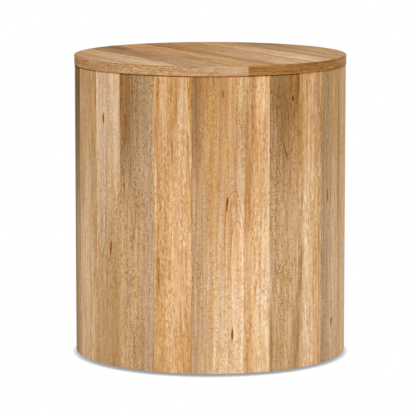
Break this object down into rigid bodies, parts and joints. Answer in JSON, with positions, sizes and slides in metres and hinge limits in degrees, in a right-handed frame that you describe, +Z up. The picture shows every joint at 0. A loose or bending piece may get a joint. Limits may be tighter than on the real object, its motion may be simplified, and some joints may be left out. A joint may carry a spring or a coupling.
{
  "type": "side table",
  "caption": "Round drum side table: an upright cylinder of edge-glued wooden staves under a thin round top of parallel boards with a bent wooden lipping, on hidden glides.",
  "frame": {"origin": "on the floor, at the axis of the drum", "axes": "+Z up along the drum's axis; the front of the table faces -Y"},
  "size_m": [0.4584, 0.4584, 0.508],
  "materials": {
    "mango_umber": "satin lacquer",
    "mango_tan": "satin lacquer",
    "mango_rose": "satin lacquer",
    "mango_olive": "satin lacquer",
    "mango_gold": "satin lacquer",
    "ring_wood": "sanded, unfinished",
    "glide_plastic": "matte",
    "screw_steel": "zinc plated"
  },
  "bodies": {
    "root": {"stave_01": "mango_tan", "stave_02": "mango_rose", "stave_03": "mango_olive", "stave_04": "mango_gold", "stave_05": "mango_rose", "stave_06": "mango_gold", "stave_07": "mango_olive", "stave_08": "mango_tan", "stave_09": "mango_rose", "stave_10": "mango_tan", "stave_11": "mango_olive", "stave_12": "mango_gold", "stave_13": "mango_umber", "stave_14": "mango_rose", "stave_15": "mango_tan", "stave_16": "mango_olive", "stave_17": "mango_gold", "stave_18": "mango_rose", "stave_19": "mango_umber", "stave_20": "mango_tan", "stave_21": "mango_rose", "stave_22": "mango_gold", "stave_23": "mango_umber", "lower_ring_segment_1": "ring_wood", "lower_ring_segment_2": "ring_wood", "lower_ring_segment_3": "ring_wood", "lower_ring_segment_4": "ring_wood", "lower_ring_segment_5": "ring_wood", "lower_ring_segment_6": "ring_wood", "upper_ring_segment_1": "ring_wood", "upper_ring_segment_2": "ring_wood", "upper_ring_segment_3": "ring_wood", "upper_ring_segment_4": "ring_wood", "upper_ring_segment_5": "ring_wood", "upper_ring_segment_6": "ring_wood", "top_board_1": "mango_tan", "top_board_2": "mango_gold", "top_board_3": "mango_olive", "top_board_4": "mango_gold", "top_board_5": "mango_rose", "top_board_6": "mango_tan", "top_board_7": "mango_olive", "top_board_8": "mango_tan", "top_lipping_1": "mango_gold", "top_lipping_2": "mango_tan", "top_lipping_3": "mango_rose", "top_batten_1": "ring_wood", "top_batten_2": "ring_wood", "glide_1": "glide_plastic", "glide_2": "glide_plastic", "glide_3": "glide_plastic", "glide_4": "glide_plastic", "top_screws": "screw_steel", "batten_screws": "screw_steel", "glide_screws": "screw_steel"}
  },
  "joints": []
}
